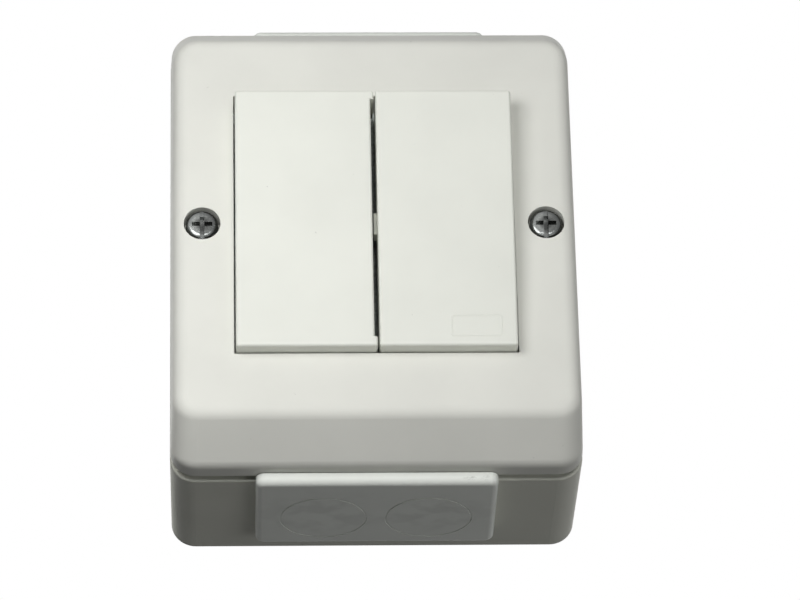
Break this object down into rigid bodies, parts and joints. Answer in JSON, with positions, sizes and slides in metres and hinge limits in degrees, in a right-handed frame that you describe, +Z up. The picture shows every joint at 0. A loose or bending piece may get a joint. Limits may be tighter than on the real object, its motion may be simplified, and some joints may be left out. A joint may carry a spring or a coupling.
{
  "type": "surface-mounted weatherproof rocker switch",
  "caption": "Surface-mounted weatherproof wall switch with side-by-side rockers in a screwed-down cover on a back box with blank cable entry plates.",
  "frame": {"origin": "centre of the back face that lies on the wall", "axes": "+Z up the wall, +Y into the wall, +X to the right seen from the front"},
  "size_m": [0.0702, 0.045, 0.09],
  "materials": {
    "cover_plastic": "satin moulded plastic",
    "base_plastic": "satin moulded plastic",
    "rocker_plastic": "smooth satin moulded plastic",
    "toggle_plastic": "moulded nylon",
    "mechanism_plastic": "moulded thermoset",
    "rubber": "soft seal rubber",
    "screw_steel": "zinc-plated",
    "clamp_steel": "zinc-plated",
    "spring_steel": "bright wire",
    "brass": "rolled brass"
  },
  "bodies": {
    "housing": {"back_box": "base_plastic", "entry_plate_upper": "base_plastic", "entry_plate_lower": "base_plastic", "cover": "cover_plastic", "cover_gasket": "rubber", "cover_screws": "screw_steel", "screw_seals": "rubber", "screw_inserts": "brass", "rocker_membrane": "rubber", "switch_base": "mechanism_plastic", "switch_frame": "mechanism_plastic", "mechanism_screws": "screw_steel", "common_terminal": "brass", "terminal_clamps": "clamp_steel", "terminal_screws": "screw_steel", "output_contact_left": "brass", "output_contact_right": "brass"},
    "rocker_left": {"rocker_left": "rocker_plastic", "toggle_left": "toggle_plastic", "plunger_left": "toggle_plastic", "spring_left": "spring_steel"},
    "contact_left": {"contact_blade_left": "brass"},
    "rocker_right": {"rocker_right": "rocker_plastic", "toggle_right": "toggle_plastic", "plunger_right": "toggle_plastic", "spring_right": "spring_steel"},
    "contact_right": {"contact_blade_right": "brass"}
  },
  "joints": [
    {"name": "rocker_left_hinge", "type": "hinge", "parent": "housing", "child": "rocker_left", "pos_m": [-0.01213, -0.026, 0], "axis": [1, 0, 0], "range_deg": [0, 5.2]},
    {"name": "contact_left_hinge", "type": "hinge", "parent": "housing", "child": "contact_left", "pos_m": [-0.01213, -0.0122, 0], "axis": [1, 0, 0], "range_deg": [-17.5, 0]},
    {"name": "rocker_right_hinge", "type": "hinge", "parent": "housing", "child": "rocker_right", "pos_m": [0.01213, -0.026, 0], "axis": [1, 0, 0], "range_deg": [0, 5.2]},
    {"name": "contact_right_hinge", "type": "hinge", "parent": "housing", "child": "contact_right", "pos_m": [0.01213, -0.0122, 0], "axis": [1, 0, 0], "range_deg": [-17.5, 0]}
  ],
  "couplings": [
    {"joint": "contact_left_hinge", "follows": "rocker_left_hinge", "ratio": -2.8},
    {"joint": "contact_right_hinge", "follows": "rocker_right_hinge", "ratio": -2.8}
  ]
}
